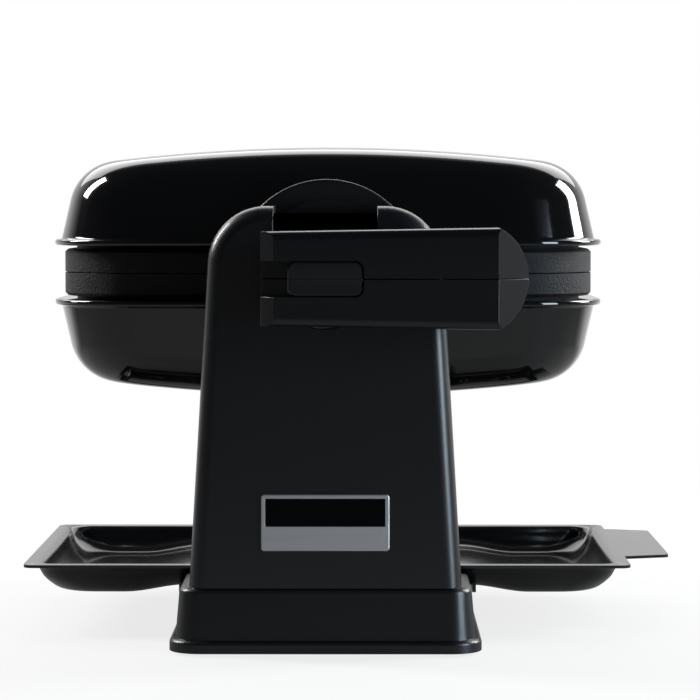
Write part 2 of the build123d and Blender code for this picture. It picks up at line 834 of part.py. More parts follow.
rear_floor = rear_back_high - column_wall
rear_boss_places = [(x, rear_face + rear_boss_depth) for x in (-cover_screw_x, cover_screw_x)]
stand_screw_length = 12.0
with BuildPart() as rear_column:
    with BuildSketch(front_view(cover_back)):
        add(rear_outline)
    extrude(amount=-(rear_back_low + 5 - cover_back))
    add(lean_cut(rear_back_low, rear_back_high, 1), mode=Mode.SUBTRACT)
    fillet(rear_column.faces().sort_by(Axis.Y)[-1].edges().filter_by(above_foot), rear_edge_round)
    with BuildSketch(front_view(cover_back)):
        add(drawn_in(rear_outline, column_wall))
    extrude(amount=-(rear_floor - cover_back), mode=Mode.SUBTRACT)
    with BuildSketch(Plane.XY.offset(skirt_top)):
        with Locations((0, (cover_back + rear_floor) / 2)):
            Rectangle(2 * (rear_half_low - column_wall) - 2, rear_floor - cover_back)
    extrude(amount=column_wall, mode=Mode.SUBTRACT)
    for x, z in ((place[0], place[2]) for place in cover_screw_places):
        with BuildSketch(Plane(origin=(x, cover_back, z), z_dir=(0, 1, 0))):
            Circle(boss_radius)
        extrude(amount=rear_floor - cover_back)
    with BuildSketch(Plane.XY.offset(skirt_top)):
        with Locations(*rear_boss_places):
            Circle(boss_radius)
        with Locations(*[(x, (cover_back + rear_floor) / 2) for x, y in rear_boss_places]):
            Rectangle(boss_radius, rear_floor - cover_back)
    extrude(amount=boss_height)
    with BuildSketch(Plane.YZ.offset(rear_half_high - column_wall - 4)):
        with Locations((knob_y, knob_height)):
            Circle(dial_radius)
    extrude(amount=dial_face - rear_half_high + column_wall + 4)
    with BuildSketch(Plane.YZ.offset(dial_face - 6)):
        with Locations((knob_y, knob_height)):
            Circle(dial_radius - column_wall)
    extrude(amount=-20, mode=Mode.SUBTRACT)
    with BuildSketch(Plane.YZ):
        with Locations((knob_y, knob_height)):
            Circle(knob_stem_radius + loose_gap)
        with Locations((knob_y - lamp_spacing / 2, lamp_height), (knob_y + lamp_spacing / 2, lamp_height)):
            Circle(lamp_radius + screw_gap)
    extrude(amount=60, mode=Mode.SUBTRACT)
    for place in cover_screw_places:
        add(bore(place, (0, 1, 0), cover_screw_length), mode=Mode.SUBTRACT)
    for x, y in rear_boss_places:
        add(bore((x, y, skirt_top), (0, 0, 1), stand_screw_length - base_wall), mode=Mode.SUBTRACT)
save(rear_column.part, "rear_column")
save_screws(
    [(x, y, skirt_top - base_wall) for x, y in rear_boss_places],
    (0, 0, 1),
    stand_screw_length,
    "rear_column_screws",
)

# Controls
with BuildPart() as control_unit:
    with BuildSketch(Plane.YZ.offset(dial_face - 6 - running_gap)):
        with Locations((knob_y, knob_height)):
            RectangleRounded(control_size, control_size, 3)
    extrude(amount=-control_depth)
    fillet(control_unit.faces().sort_by(Axis.X)[0].edges(), 1)
save(control_unit.part, "control_unit")

with BuildPart() as control_knob:
    with BuildSketch(Plane.YZ.offset(dial_face + loose_gap)):
        with Locations((knob_y, knob_height)):
            Circle(knob_radius)
    extrude(amount=knob_thick, taper=3)
    fillet(control_knob.faces().sort_by(Axis.X)[-1].edges(), 1.5)
    with BuildSketch(Plane.YZ.offset(dial_face + loose_gap + 3)):
        with Locations((knob_y, knob_height)):
            with PolarLocations(knob_radius + knob_flute_radius / 3, knob_flutes):
                Circle(knob_flute_radius)
    extrude(amount=knob_thick, mode=Mode.SUBTRACT)
    with BuildSketch(Plane.YZ.offset(dial_face + loose_gap)):
        with Locations((knob_y, knob_height)):
            Circle(knob_stem_radius)
    extrude(amount=-(6 + loose_gap))
    with BuildSketch(Plane.YZ.offset(dial_face + loose_gap + knob_thick)):
        with Locations((knob_y, knob_height + knob_radius * 0.6)):
            Rectangle(1.6, knob_radius * 0.5)
    extrude(amount=-0.8, mode=Mode.SUBTRACT)
save(control_knob.part, "control_knob")

with BuildPart() as lamp_lenses:
    with BuildSketch(Plane.YZ.offset(rear_half_high - column_wall - 2)):
        with Locations((knob_y - lamp_spacing / 2, lamp_height), (knob_y + lamp_spacing / 2, lamp_height)):
            Circle(lamp_radius)
    extrude(amount=column_wall + 6)
    fillet(lamp_lenses.faces().filter_by(Axis.X).group_by(Axis.X)[-1].edges(), 1.5)
save(lamp_lenses.part, "lamp_lenses")

# Front column, hollow, with a notch for the journal
notch_radius = journal_radius + running_gap + liner_thick
column_lean = math.atan2(column_front_high - column_front_low, column_top - skirt_top)
front_boss_x = column_half_high - front_boss_inset
front_boss_places = [
    (x, y)
    for x in (-front_boss_x, front_boss_x)
    for y in (column_front_low + front_boss_front, column_back - front_boss_back)
]
front_outline = column_outline(column_half_low, column_half_high, column_top, column_shoulder, notch_radius)
with BuildPart() as front_column:
    with BuildSketch(front_view(column_back)):
        add(front_outline)
    extrude(amount=column_back - column_front_low + 5)
    add(lean_cut(column_front_low, column_front_high, -1), mode=Mode.SUBTRACT)
    front_edges = front_column.faces().sort_by(Axis.Y)[0].edges().filter_by(above_foot)
    fillet(front_edges.filter_by(lambda edge: abs(edge.center().X) > notch_radius + 5), column_edge_round)
    with BuildSketch(front_view(column_back - column_wall)):
        add(drawn_in(front_outline, column_wall))
    extrude(amount=column_back - 2 * column_wall - column_front_high, mode=Mode.SUBTRACT)
    with BuildSketch(Plane.XY.offset(skirt_top)):
        with Locations((0, (column_back - column_wall + column_front_high) / 2)):
            Rectangle(
                2 * (column_half_low - column_wall) - 2,
                column_back - column_front_high - 2 * column_wall,
            )
    extrude(amount=column_wall, mode=Mode.SUBTRACT)
    with BuildSketch(Plane.XY.offset(skirt_top)):
        with Locations(*front_boss_places):
            Circle(boss_radius)
            Rectangle(30, 3)
    extrude(amount=boss_height)
    for x, y in front_boss_places:
        add(bore((x, y, skirt_top), (0, 0, 1), stand_screw_length - base_wall), mode=Mode.SUBTRACT)
save(front_column.part, "front_column")
save_screws(
    [(x, y, skirt_top - base_wall) for x, y in front_boss_places],
    (0, 0, 1),
    stand_screw_length,
    "front_column_screws",
)

with BuildPart() as column_liner:
    with BuildSketch(front_view(column_back)):
        Circle(notch_radius)
        with Locations((0, liner_rise / 2)):
            Rectangle(2 * notch_radius, liner_rise)
        with Locations((0, liner_rise + notch_radius / 2)):
            Rectangle(2 * notch_radius + 1, notch_radius, mode=Mode.SUBTRACT)
        Circle(journal_radius + running_gap, mode=Mode.SUBTRACT)
        with Locations((0, liner_rise)):
            Rectangle(2 * (journal_radius + running_gap), 2 * liner_rise, mode=Mode.SUBTRACT)
    extrude(amount=column_back - liner_front)
save(column_liner.part, "column_liner")


def column_front(height):
    """The depth of the front column's leaning face at a height."""
    return column_front_low + (height - skirt_top) * math.tan(column_lean)


badge_seat = Plane(
    origin=(0, column_front(badge_middle), badge_middle),
    x_dir=(1, 0, 0),
    z_dir=(0, -math.cos(column_lean), math.sin(column_lean)),
)
inlay_lift = (badge_height - inlay_height) / 2 - 2
with BuildPart() as badge_plate:
    with BuildSketch(badge_seat):
        RectangleRounded(badge_width, badge_height, 1.5)
    extrude(amount=badge_thick)
    chamfer(badge_plate.faces().sort_by(Axis.Y)[0].edges(), 0.4)
    with BuildSketch(badge_seat.offset(badge_thick - inlay_thick)):
        with Locations((0, inlay_lift)):
            Rectangle(inlay_width, inlay_height)
    extrude(amount=inlay_thick, mode=Mode.SUBTRACT)
save(badge_plate.part, "badge_plate")
with BuildPart() as badge_inlay:
    with BuildSketch(badge_seat.offset(badge_thick - inlay_thick)):
        with Locations((0, inlay_lift)):
            Rectangle(inlay_width - 0.1, inlay_height - 0.1)
    extrude(amount=inlay_thick)
save(badge_inlay.part, "badge_inlay")

# Base housing: one moulding with a low bridge between its two blocks
base_middle = (front_block_front + rear_block_back) / 2
base_length = rear_block_back - front_block_front


def base_block(inset, top, draft, floor, clear):
    """A drafted block on the base's outline, with the gap over the bridge where the tray drops in."""
    with BuildPart() as block:
        with BuildSketch(Plane.XY.offset(base_rise)):
            with Locations((0, base_middle)):
                RectangleRounded(2 * (skirt_half - inset), base_length - 2 * inset, skirt_corner - inset)
        extrude(amount=top - base_rise, taper=draft)
        with BuildSketch(Plane.YZ):
            with Locations(((front_block_back + rear_block_front) / 2, floor + top / 2)):
                Rectangle(rear_block_front - front_block_back + 2 * clear, top)
        extrude(amount=base_length, both=True, mode=Mode.SUBTRACT)
    return block.part


def on_flange(edge):
    """Whether an edge lies round the top of the base's flange."""
    middle = edge.center()
    outside = abs(middle.X) > skirt_half or abs(middle.Y - base_middle) > base_length / 2
    return outside and abs(middle.Z - base_flange_top) < 0.01


flange_out = base_flange_half - skirt_half
base_plate_top = base_rise + base_plate_thick
with BuildPart() as base_housing:
    add(base_block(0, skirt_top, skirt_draft, bridge_top, 0))
    top_edges = base_housing.faces().filter_by(Axis.Z).sort_by(Axis.Z)[-2:].edges()
    fillet(top_edges, skirt_round)
    with BuildSketch(Plane.XY.offset(base_rise)):
        with Locations((0, base_middle)):
            RectangleRounded(2 * base_flange_half, base_length + 2 * flange_out, skirt_corner + 2)
    extrude(amount=base_flange_top - base_rise)
    fillet(base_housing.edges().filter_by(on_flange), base_flange_round)
    add(
        base_block(base_wall, skirt_top - base_wall, skirt_draft, bridge_top - base_wall, base_wall),
        mode=Mode.SUBTRACT,
    )
    with BuildSketch(Plane.XY.offset(bridge_top)):
        with Locations((0, (column_back + column_front_low) / 2), (0, (cover_back + rear_floor) / 2)):
            Rectangle(50, 20)
    extrude(amount=skirt_top - bridge_top, mode=Mode.SUBTRACT)
    for x, y in front_boss_places + rear_boss_places:
        add(bore((x, y, skirt_top - base_wall), (0, 0, 1), base_wall), mode=Mode.SUBTRACT)
    with BuildSketch(front_view(rear_block_back - 20)):
        with Locations((0, gland_height - axis_height)):
            Circle(gland_radius - gland_step)
    extrude(amount=-40, mode=Mode.SUBTRACT)
save(base_housing.part, "base_housing")

foot_x = base_flange_half - foot_inset
foot_y = base_length / 2 + flange_out - foot_inset
foot_places = [(x, base_middle + y) for x in (-foot_x, foot_x) for y in (-foot_y, foot_y)]
with BuildPart() as base_plate:
    with BuildSketch(Plane.XY.offset(base_rise)):
        with Locations((0, base_middle)):
            RectangleRounded(
                2 * (skirt_half - base_wall - loose_gap),
                base_length - 2 * (base_wall + loose_gap),
                skirt_corner - base_wall - loose_gap,
            )
    extrude(amount=base_plate_thick)
    with BuildSketch(Plane.XY.offset(base_rise)):
        with Locations(*foot_places):
            RectangleRounded(foot_size, foot_size, 3)
    extrude(amount=foot_sink, mode=Mode.SUBTRACT)
save(base_plate.part, "base_plate")
with BuildPart() as base_feet:
    with BuildSketch():
        with Locations(*foot_places):
            RectangleRounded(foot_size - 2 * screw_gap, foot_size - 2 * screw_gap, 3)
    extrude(amount=base_rise + foot_sink)
    chamfer(base_feet.faces().group_by(Axis.Z)[0].edges(), 0.4)
save(base_feet.part, "base_feet")

with BuildPart() as cord_gland:
    with BuildSketch(front_view(rear_block_back + gland_reach)):
        with Locations((0, gland_height - axis_height)):
            Circle(gland_radius)
            Circle(gland_bore, mode=Mode.SUBTRACT)
    extrude(amount=gland_reach - 0.5)
    fillet(cord_gland.faces().sort_by(Axis.Y)[-1].edges(), 1)
    with BuildSketch(front_view(rear_block_back + 1)):
        with Locations((0, gland_height - axis_height)):
            Circle(gland_radius - gland_step - screw_gap)
            Circle(gland_bore, mode=Mode.SUBTRACT)
    extrude(amount=14)
save(cord_gland.part, "cord_gland")

with BuildPart() as terminal_block:
    with BuildSketch(Plane.XY.offset(base_plate_top + running_gap)):
        with Locations((terminal_x, terminal_y)):
            Rectangle(30, 16)
    extrude(amount=terminal_height)
    with BuildSketch(Plane.XY.offset(base_plate_top + running_gap + terminal_height)):
        with Locations((terminal_x, terminal_y)):
            with GridLocations(10, 8, 3, 2):
                Circle(2)
    extrude(amount=-6, mode=Mode.SUBTRACT)
save(terminal_block.part, "terminal_block")

# Drip tray: a pressed sheet with deep wells at both ends and a pull tab on the right
tray_seat = bridge_top
tray_fall = tray_rim_top - tray_sheet - tray_seat
wall_run = tray_fall * math.tan(math.radians(tray_slope))


def tray_solid(inset, top, floor, well_floor):
    """The pan's filled form, from its rim down to its floor and wells."""
    with BuildPart() as pan:
        with BuildSketch(Plane.XY.offset(top)):
            RectangleRounded(
                tray_width - 2 * tray_flange - 2 * inset,
                tray_depth - 2 * tray_flange - 2 * inset,
                tray_pan_corner - inset,
            )
        extrude(amount=-(top - well_floor), taper=tray_slope)
        with BuildSketch(Plane.XZ.offset(-tray_depth / 2)):
            with BuildLine():
                Polyline(
                    (-tray_well_start, well_floor),
                    (-rib_place, floor),
                    (rib_place, floor),
                    (tray_well_start, well_floor),
                    close=True,
                )
            make_face()
        extrude(amount=tray_depth, mode=Mode.SUBTRACT)
    return pan.part


tray_cavity = tray_solid(
    tray_sheet / math.cos(math.radians(tray_slope)),
    tray_rim_top,
    tray_seat + tray_sheet,
    tray_seat - tray_well_drop + tray_sheet,
)
with BuildPart() as drip_tray:
    with BuildSketch(Plane.XY.offset(tray_rim_top - tray_sheet)):
        RectangleRounded(tray_width, tray_depth, tray_corner)
    extrude(amount=tray_sheet)
    with BuildSketch(Plane.XY.offset(tray_rim_top - tray_sheet)):
        with BuildLine():
            Polyline(
                (tray_width / 2 - 1, tab_front),
                (tray_width / 2 + tab_reach, tab_front + tab_slant),
                (tray_width / 2 + tab_reach, tab_back - tab_slant),
                (tray_width / 2 - 1, tab_back),
                close=True,
            )
        make_face()
        fillet(vertices().sort_by(Axis.X)[-2:], 4)
    extrude(amount=tray_sheet)
    add(tray_solid(0, tray_rim_top, tray_seat, tray_seat - tray_well_drop))
    add(tray_cavity, mode=Mode.SUBTRACT)
    with BuildSketch(Plane.XY.offset(tray_seat + tray_sheet / 2)):
        with GridLocations(2 * rib_place, 0, 2, 1):
            Rectangle(rib_thick, tray_depth - 2 * tray_flange - 2 * wall_run - 16)
    extrude(amount=-(rib_drop + tray_sheet / 2))
save(drip_tray.part, "drip_tray")
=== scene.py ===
# Rotating waffle maker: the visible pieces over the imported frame, with a white studio round them.
# Lengths in the tables of shapes are in mm and angles in degrees; the studio's are in metres.
import bpy, bmesh, json, math
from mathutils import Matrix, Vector


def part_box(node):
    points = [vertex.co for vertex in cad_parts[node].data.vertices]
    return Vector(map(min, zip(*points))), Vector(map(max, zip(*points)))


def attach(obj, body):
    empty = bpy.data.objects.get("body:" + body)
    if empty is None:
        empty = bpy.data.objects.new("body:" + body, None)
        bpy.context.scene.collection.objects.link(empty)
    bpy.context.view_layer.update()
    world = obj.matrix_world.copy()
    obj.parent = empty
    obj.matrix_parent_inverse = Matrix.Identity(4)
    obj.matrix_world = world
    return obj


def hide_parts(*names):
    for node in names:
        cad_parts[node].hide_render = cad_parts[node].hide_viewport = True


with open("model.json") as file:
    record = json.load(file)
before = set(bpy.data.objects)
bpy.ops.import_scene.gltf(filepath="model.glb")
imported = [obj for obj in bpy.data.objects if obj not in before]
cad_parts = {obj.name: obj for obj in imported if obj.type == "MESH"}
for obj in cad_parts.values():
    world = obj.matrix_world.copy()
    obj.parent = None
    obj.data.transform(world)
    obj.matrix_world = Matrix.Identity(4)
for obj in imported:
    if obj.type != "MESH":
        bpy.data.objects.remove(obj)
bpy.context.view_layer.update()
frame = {"nodes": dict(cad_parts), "record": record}
nodes = frame["nodes"]
mm = 0.001
print("frame loaded,", len(nodes), "nodes")


# shader helpers
def newGroup(name, inputs, outputs):
    group = bpy.data.node_groups.new(name, "ShaderNodeTree")
    for label, kind, value in inputs:
        socket = group.interface.new_socket(label, in_out="INPUT", socket_type=kind)
        socket.default_value = value
    for label, kind in outputs:
        group.interface.new_socket(label, in_out="OUTPUT", socket_type=kind)
    return group, group.nodes.new("NodeGroupInput"), group.nodes.new("NodeGroupOutput")


def mathNode(tree, operation, *values):
    node = tree.nodes.new("ShaderNodeMath")
    node.operation = operation
    for slot, value in enumerate(values):
        if isinstance(value, (int, float)):
            node.inputs[slot].default_value = value
        else:
            tree.links.new(value, node.inputs[slot])
    return node.outputs[0]


def noiseNode(tree, vector, scale, detail=3.0, rough=0.5):
    node = tree.nodes.new("ShaderNodeTexNoise")
    node.inputs["Detail"].default_value = detail
    node.inputs["Roughness"].default_value = rough
    tree.links.new(vector, node.inputs["Vector"])
    if isinstance(scale, (int, float)):
        node.inputs["Scale"].default_value = scale
    else:
        tree.links.new(scale, node.inputs["Scale"])
    return node.outputs["Fac"]


def mixColours(tree, factor):
    """a colour mix driven by factor: its inputs by name, and its result"""
    node = tree.nodes.new("ShaderNodeMix")
    node.data_type = "RGBA"
    tree.links.new(factor, node.inputs["Factor"])
    return node.inputs, node.outputs["Result"]


def mapRange(tree, value, given, wanted, kind="LINEAR"):
    node = tree.nodes.new("ShaderNodeMapRange")
    node.interpolation_type = kind
    node.inputs["From Min"].default_value, node.inputs["From Max"].default_value = given
    node.inputs["To Min"].default_value, node.inputs["To Max"].default_value = wanted
    tree.links.new(value, node.inputs["Value"])
    return node.outputs["Result"]


def groupNode(tree, group, values):
    node = tree.nodes.new("ShaderNodeGroup")
    node.node_tree = group
    for label, value in values.items():
        node.inputs[label].default_value = value
    return node


# shader groups that several finishes share
def makeGrain():
    """fine moulded or cast grain: a height, and a roughness that wanders a little"""
    group, inp, out = newGroup(
        "grain",
        [("Vector", "NodeSocketVector", (0, 0, 0)), ("Fine scale", "NodeSocketFloat", 900.0),
         ("Broad scale", "NodeSocketFloat", 14.0), ("Roughness", "NodeSocketFloat", 0.4),
         ("Wander", "NodeSocketFloat", 0.05)],
        [("Height", "NodeSocketFloat"), ("Roughness", "NodeSocketFloat")])
    vector = inp.outputs["Vector"]
    fine = noiseNode(group, vector, inp.outputs["Fine scale"], detail=4.0, rough=0.6)
    broad = noiseNode(group, vector, inp.outputs["Broad scale"])
    centred = mathNode(group, "SUBTRACT", broad, 0.5)
    rough = mathNode(group, "MULTIPLY_ADD", centred, inp.outputs["Wander"],
                     inp.outputs["Roughness"])
    group.links.new(fine, out.inputs["Height"])
    group.links.new(rough, out.inputs["Roughness"])
    return group


def makeEdgeSheen(flat=0.505, gain=14.0):
    """painted edge sheen: the base colour lightens along convex edges, where pointiness is over
    flat, in place of highlights on them
    """
    group, inp, out = newGroup(
        "paintedEdgeSheen",
        [("Colour", "NodeSocketColor", (0.02, 0.02, 0.02, 1)),
         ("Edge colour", "NodeSocketColor", (0.05, 0.05, 0.05, 1)),
         ("Amount", "NodeSocketFloat", 0.4)],
        [("Colour", "NodeSocketColor")])
    pointiness = group.nodes.new("ShaderNodeNewGeometry").outputs["Pointiness"]
    edge = mathNode(group, "MULTIPLY", mathNode(group, "SUBTRACT", pointiness, flat), gain)
    clamp = group.nodes.new("ShaderNodeClamp")
    group.links.new(edge, clamp.inputs["Value"])
    mask = mathNode(group, "MULTIPLY", clamp.outputs[0], inp.outputs["Amount"])
    sides, mixed = mixColours(group, mask)
    group.links.new(inp.outputs["Colour"], sides["A"])
    group.links.new(inp.outputs["Edge colour"], sides["B"])
    group.links.new(mixed, out.inputs["Colour"])
    return group


def makeBrushed():
    """fine lines drawn along one direction"""
    group, inp, out = newGroup(
        "brushedLines",
        [("Vector", "NodeSocketVector", (0, 0, 0)),
         ("Stretch", "NodeSocketVector", (20.0, 900.0, 900.0)),
         ("Roughness", "NodeSocketFloat", 0.3), ("Spread", "NodeSocketFloat", 0.15)],
        [("Height", "NodeSocketFloat"), ("Roughness", "NodeSocketFloat")])
    scale = group.nodes.new("ShaderNodeVectorMath")
    scale.operation = "MULTIPLY"
    group.links.new(inp.outputs["Vector"], scale.inputs[0])
    group.links.new(inp.outputs["Stretch"], scale.inputs[1])
    lines = noiseNode(group, scale.outputs[0], 1.0, detail=2.0)
    centred = mathNode(group, "SUBTRACT", lines, 0.5)
    rough = mathNode(group, "MULTIPLY_ADD", centred, inp.outputs["Spread"],
                     inp.outputs["Roughness"])
    group.links.new(lines, out.inputs["Height"])
    group.links.new(rough, out.inputs["Roughness"])
    return group


grainGroup = makeGrain()
edgeSheenGroup = makeEdgeSheen()
brushedGroup = makeBrushed()
print("shader groups made")

# moulded, cast and enamelled finishes; what a row leaves out comes from plainLook; each row's edge
# colour and its amount paint a lighter sheen on convex edges, in place of highlights
plainLook = dict(specular=0.5, coat=0.0, coatRough=0.1)
finishes = {
    "black_enamel": dict(
        colour=(0.0035, 0.0035, 0.0038), edge=(0.03, 0.03, 0.03), edgeSheen=0.15,
        roughness=0.075, wander=0.03, fine=160.0, broad=9.0, bump=0.012,
        coat=0.6, coatRough=0.04),
    "nonstick": dict(
        colour=(0.0085, 0.009, 0.0102), edge=(0.05, 0.05, 0.052), edgeSheen=0.5,
        roughness=0.5, wander=0.14, fine=900.0, broad=60.0, bump=2.5, specular=0.25),
    "housing_plastic": dict(
        colour=(0.0042, 0.0050, 0.0068), edge=(0.022, 0.024, 0.030), edgeSheen=0.25,
        roughness=0.33, wander=0.06, fine=1900.0, broad=12.0, bump=0.05, specular=0.8),
    "grip_plastic": dict(
        colour=(0.0048, 0.0052, 0.0065), edge=(0.022, 0.023, 0.028), edgeSheen=0.25,
        roughness=0.24, wander=0.05, fine=1900.0, broad=20.0, bump=0.025, specular=0.6),
    "latch_plastic": dict(
        colour=(0.014, 0.014, 0.0155), edge=(0.05, 0.05, 0.053), edgeSheen=0.35,
        roughness=0.26, wander=0.05, fine=1700.0, broad=30.0, bump=0.03),
    "tray_enamel": dict(
        colour=(0.006, 0.006, 0.0065), edge=(0.05, 0.05, 0.05), edgeSheen=0.3,
        roughness=0.16, wander=0.06, fine=420.0, broad=11.0, bump=0.03,
        coat=0.4, coatRough=0.08),
    "badge_black": dict(
        colour=(0.0025, 0.0027, 0.003), edge=(0.01, 0.01, 0.01), edgeSheen=0.1,
        roughness=0.3, wander=0.03, fine=800.0, broad=40.0, bump=0.01,
        specular=0.08, coatRough=0.05),
    "liner_nylon": dict(
        colour=(0.30, 0.30, 0.29), edge=(0.45, 0.45, 0.43), edgeSheen=0.2,
        roughness=0.42, wander=0.05, fine=900.0, broad=40.0, bump=0.04),
    "foot_rubber": dict(
        colour=(0.018, 0.018, 0.018), edge=(0.04, 0.04, 0.04), edgeSheen=0.3,
        roughness=0.72, wander=0.08, fine=1300.0, broad=40.0, bump=0.2),
    "ceramic_white": dict(
        colour=(0.72, 0.70, 0.65), edge=(0.8, 0.78, 0.74), edgeSheen=0.2,
        roughness=0.5, wander=0.1, fine=900.0, broad=40.0, bump=0.1),
}
metals = {
    "badge_steel": dict(colour=(0.90, 0.90, 0.91), roughness=0.46, spread=0.14,
                        stretch=(14.0, 900.0, 1500.0), bump=0.05),
    "plain_steel": dict(colour=(0.42, 0.42, 0.43), roughness=0.36, spread=0.18,
                        stretch=(500.0, 500.0, 30.0), bump=0.08),
    "screw_steel": dict(colour=(0.50, 0.50, 0.51), roughness=0.24, spread=0.1,
                        stretch=(400.0, 400.0, 400.0), bump=0.03),
    "bright_aluminium": dict(colour=(0.70, 0.70, 0.71), roughness=0.22, spread=0.12,
                             stretch=(30.0, 600.0, 600.0), bump=0.04),
    "element_steel": dict(colour=(0.16, 0.14, 0.13), roughness=0.5, spread=0.2,
                          stretch=(200.0, 200.0, 200.0), bump=0.1),
    "bearing_bronze": dict(colour=(0.42, 0.28, 0.13), roughness=0.42, spread=0.2,
                           stretch=(500.0, 500.0, 500.0), bump=0.1),
}
lens = dict(colour=(0.45, 0.02, 0.012), roughness=0.12, clear=0.5, ripples=260.0, bump=0.2)
reliefDepth = 0.0002  # metres of relief for a bump of 1
materials = {}


def startMaterial(name, bumpStrength):
    """a material with a bump: its tree, its shader, the object's coordinates and the height"""
    material = bpy.data.materials.new(name)
    material.use_nodes = True
    tree = material.node_tree
    shader = tree.nodes["Principled BSDF"]
    coords = tree.nodes.new("ShaderNodeTexCoord")
    bump = tree.nodes.new("ShaderNodeBump")
    bump.inputs["Distance"].default_value = reliefDepth
    bump.inputs["Strength"].default_value = bumpStrength
    tree.links.new(bump.outputs["Normal"], shader.inputs["Normal"])
    materials[name] = material
    return tree, shader.inputs, coords.outputs["Object"], bump.inputs["Height"]


def makeFinish(name, look):
    tree, shader, where, height = startMaterial(name, look["bump"])
    grain = groupNode(tree, grainGroup, {
        "Fine scale": look["fine"], "Broad scale": look["broad"],
        "Roughness": look["roughness"], "Wander": look["wander"]})
    # painted edge sheen: convex edges drawn lighter in the base colour, in place of highlights
    edgeSheen = groupNode(tree, edgeSheenGroup, {
        "Colour": (*look["colour"], 1), "Edge colour": (*look["edge"], 1),
        "Amount": look["edgeSheen"]})
    tree.links.new(where, grain.inputs["Vector"])
    tree.links.new(grain.outputs["Height"], height)
    tree.links.new(edgeSheen.outputs["Colour"], shader["Base Color"])
    tree.links.new(grain.outputs["Roughness"], shader["Roughness"])
    shader["Specular IOR Level"].default_value = look["specular"]
    shader["Coat Weight"].default_value = look["coat"]
    shader["Coat Roughness"].default_value = look["coatRough"]


def makeMetal(name, look):
    tree, shader, where, height = startMaterial(name, look["bump"])
    lines = groupNode(tree, brushedGroup, {
        "Stretch": look["stretch"], "Roughness": look["roughness"], "Spread": look["spread"]})
    tree.links.new(where, lines.inputs["Vector"])
    tree.links.new(lines.outputs["Height"], height)
    tree.links.new(lines.outputs["Roughness"], shader["Roughness"])
    shader["Base Color"].default_value = (*look["colour"], 1)
    shader["Metallic"].default_value = 1.0


def makeLens(name, look):
    tree, shader, where, height = startMaterial(name, look["bump"])
    ripple = tree.nodes.new("ShaderNodeTexWave")
    ripple.inputs["Scale"].default_value = look["ripples"]
    tree.links.new(where, ripple.inputs["Vector"])
    tree.links.new(ripple.outputs["Fac"], height)
    shader["Base Color"].default_value = (*look["colour"], 1)
    shader["Roughness"].default_value = look["roughness"]
    shader["Transmission Weight"].default_value = look["clear"]


for name, look in finishes.items():
    makeFinish(name, {**plainLook, **look})
for name, look in metals.items():
    makeMetal(name, look)
makeLens("lens_red", lens)
print("materials made:", len(materials))

# pieces
behaviour = frame["record"]["behaviour"]
bodyOf = {node: body for body, members in behaviour["bodies"].items() for node in members}
slotOf = {part["node"]: part["material_slot"] for part in frame["record"]["subparts"]}


def addObject(name, data):
    thing = bpy.data.objects.new(name, data)
    bpy.context.scene.collection.objects.link(thing)
    return thing


def keepPiece(bm, node, smoothAngle=32):
    """turns a bmesh into the piece that stands for a node, on its body and in its finish"""
    name = node + "_dressed"
    mesh = bpy.data.meshes.new(name)
    bm.to_mesh(mesh)
    bm.free()
    piece = addObject(name, mesh)
    mesh.materials.append(materials[slotOf[node]])
    for face in mesh.polygons:
        face.use_smooth = True
    mesh.set_sharp_from_angle(angle=math.radians(smoothAngle))
    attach(piece, bodyOf[node])
    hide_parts(node)
    return piece


def cleanCopy(node, joinGap=0.00002, flat=0.6):
    """a copy of a CAD node's mesh with its loose triangles joined and its flat faces whole"""
    bm = bmesh.new()
    bm.from_mesh(nodes[node].data)
    bmesh.ops.remove_doubles(bm, verts=bm.verts, dist=joinGap)
    bmesh.ops.dissolve_limit(bm, angle_limit=math.radians(flat), verts=bm.verts, edges=bm.edges)
    return bm


softEdges = {  # how far each moulded or cast piece's edges are broken
    "base_housing": 0.5, "front_column": 0.35, "rear_column": 0.35, "rear_cover": 0.3,
    "upper_grip": 0.45, "lower_grip": 0.45, "latch_slider": 0.3, "upper_hub": 0.3,
    "lower_hub": 0.3, "badge_plate": 0.15, "hinge_arms": 0.4, "hinge_carrier": 0.4,
    "control_knob": 0.3, "base_plate": 0.2, "column_liner": 0.2,
    "upper_plate": 0.35, "lower_plate": 0.35,
}


def dress(node, sharpFrom=40):
    """the node's own shape, with the edges over sharpFrom degrees broken where it has soft ones"""
    piece = keepPiece(cleanCopy(node), node)
    if node in softEdges:
        bevel = piece.modifiers.new("brokenEdges", "BEVEL")
        bevel.width = softEdges[node] * mm
        bevel.segments = 2
        bevel.limit_method = "ANGLE"
        bevel.angle_limit = math.radians(sharpFrom)
        bevel.harden_normals = True
        weighted = piece.modifiers.new("evenShading", "WEIGHTED_NORMAL")
        weighted.keep_sharp = True


# the shells: loops with round corners, carried round the rim, over the shoulder and the crown
shellShape = {
    "edgeRound": 1.2, "rimThick": 3.0, "rimCorner": 50.0, "overhang": 3.6, "lipRound": 1.3,
    "opening": 17.6, "wall": 1.6, "ledgeJoint": 0.2, "draft": 11.0, "shoulder": 26.0,
    "crownRadius": 900.0, "crownEdge": 34.0, "crownEdgeAngle": 5.0, "crownHub": 0.3,
    "rimSteps": 4, "lipSteps": 3, "shoulderSteps": 14, "crownSteps": 12,
    "cornerSteps": 14, "longSteps": 30, "shortSteps": 14, "smoothAngle": 50,
}


def quarter(steps):
    """angles of a quarter turn, in radians"""
    return [math.radians(90 * i / steps) for i in range(steps + 1)]


